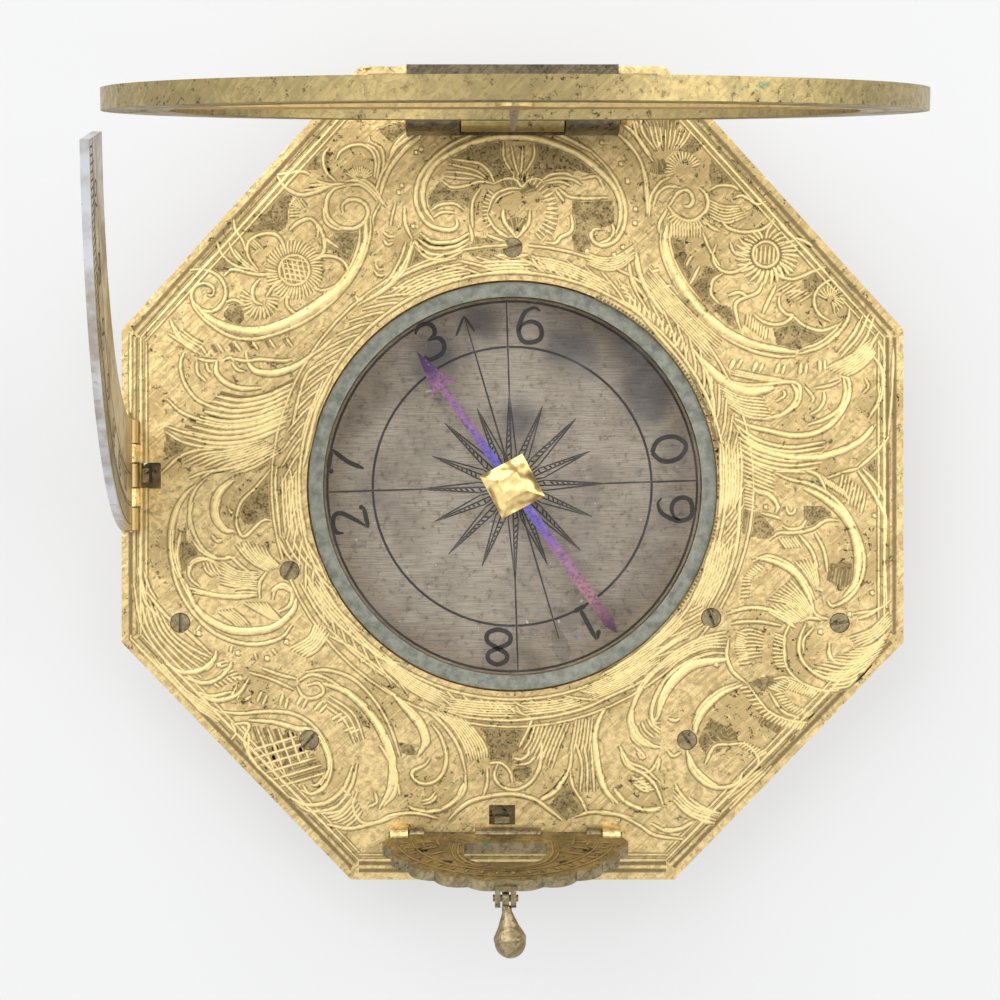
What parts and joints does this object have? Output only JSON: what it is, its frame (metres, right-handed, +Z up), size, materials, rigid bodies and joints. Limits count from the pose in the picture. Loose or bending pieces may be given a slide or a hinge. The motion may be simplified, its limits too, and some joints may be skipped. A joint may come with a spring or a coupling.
{
  "type": "pocket sundial",
  "caption": "Folding eight-sided pocket sundial with a compass, a hinged hour ring with a gnomon, a latitude arc and a plummet on a pierced bracket.",
  "frame": {"origin": "centre of the compass bowl's flat underside, on the compass axis", "axes": "+Z up out of the dial plate, +Y from the compass to the hinge of the hour ring (north), +X east"},
  "size_m": [0.0601, 0.0666, 0.0622],
  "materials": {
    "gilt_brass": "fire gilt, engraved, worn",
    "yellow_brass": "satin",
    "dark_brass": "tarnished",
    "tarnished_silver": "silvered, brushed, tarnished",
    "pewter": "dull grey",
    "blued_steel": "blued",
    "grey_steel": "satin",
    "bright_silver": "silvered, polished",
    "clear_glass": "clear"
  },
  "bodies": {
    "plate": {"base_plate": "gilt_brass", "compass_bowl": "yellow_brass", "compass_dial": "tarnished_silver", "needle_pivot": "yellow_brass", "compass_glass": "clear_glass", "glass_retaining_ring": "pewter", "bowl_screw_north": "dark_brass", "bowl_screw_west": "dark_brass", "bowl_screw_east": "dark_brass", "bracket_spring_screw_west": "dark_brass", "bracket_spring_screw_east": "dark_brass", "arc_spring_screw": "dark_brass", "east_plate_screw": "dark_brass", "bracket_spring": "yellow_brass", "arc_spring": "yellow_brass", "bracket_strap_west": "gilt_brass", "bracket_strap_east": "gilt_brass", "arc_strap_north": "gilt_brass", "arc_strap_south": "gilt_brass", "ring_hinge_block": "dark_brass", "ring_hinge_screw_west": "dark_brass", "ring_hinge_screw_east": "dark_brass", "ring_hinge_pin": "yellow_brass", "arc_hinge_pin": "dark_brass", "bracket_hinge_pin": "dark_brass"},
    "ring": {"hour_ring": "gilt_brass"},
    "gnomon": {"gnomon_bar": "yellow_brass", "gnomon_pin": "grey_steel"},
    "arc": {"latitude_arc": "bright_silver"},
    "bracket": {"plummet_bracket": "dark_brass", "plummet_pin": "dark_brass"},
    "bob": {"plummet": "dark_brass"},
    "needle": {"compass_needle": "blued_steel", "needle_cap": "gilt_brass"}
  },
  "joints": [
    {"name": "ring_fold", "type": "hinge", "parent": "plate", "child": "ring", "pos_m": [0, 0.0284, 0.00804], "axis": [-1, 0, 0], "range_deg": [-82.5, 17.5]},
    {"name": "gnomon_swivel", "type": "hinge", "parent": "ring", "child": "gnomon", "pos_m": [0, 0.02475, 0.0358], "axis": [-1, 0, 0], "range_deg": [-94, 86]},
    {"name": "arc_fold", "type": "hinge", "parent": "plate", "child": "arc", "pos_m": [-0.0293, 0, 0.00679], "axis": [0, -1, 0], "range_deg": [-86.5, 3.5]},
    {"name": "bracket_fold", "type": "hinge", "parent": "plate", "child": "bracket", "pos_m": [-0.00055, -0.0268, 0.00679], "axis": [1, 0, 0], "range_deg": [-103, 10]},
    {"name": "plummet_swing", "type": "hinge", "parent": "bracket", "child": "bob", "pos_m": [-0.00055, -0.03006, 0.01579], "axis": [1, 0, 0], "range_deg": [-77, 90]},
    {"name": "needle_turn", "type": "hinge", "parent": "plate", "child": "needle", "pos_m": [0, 0, 0.0038], "axis": [0, 0, 1], "continuous": true}
  ]
}
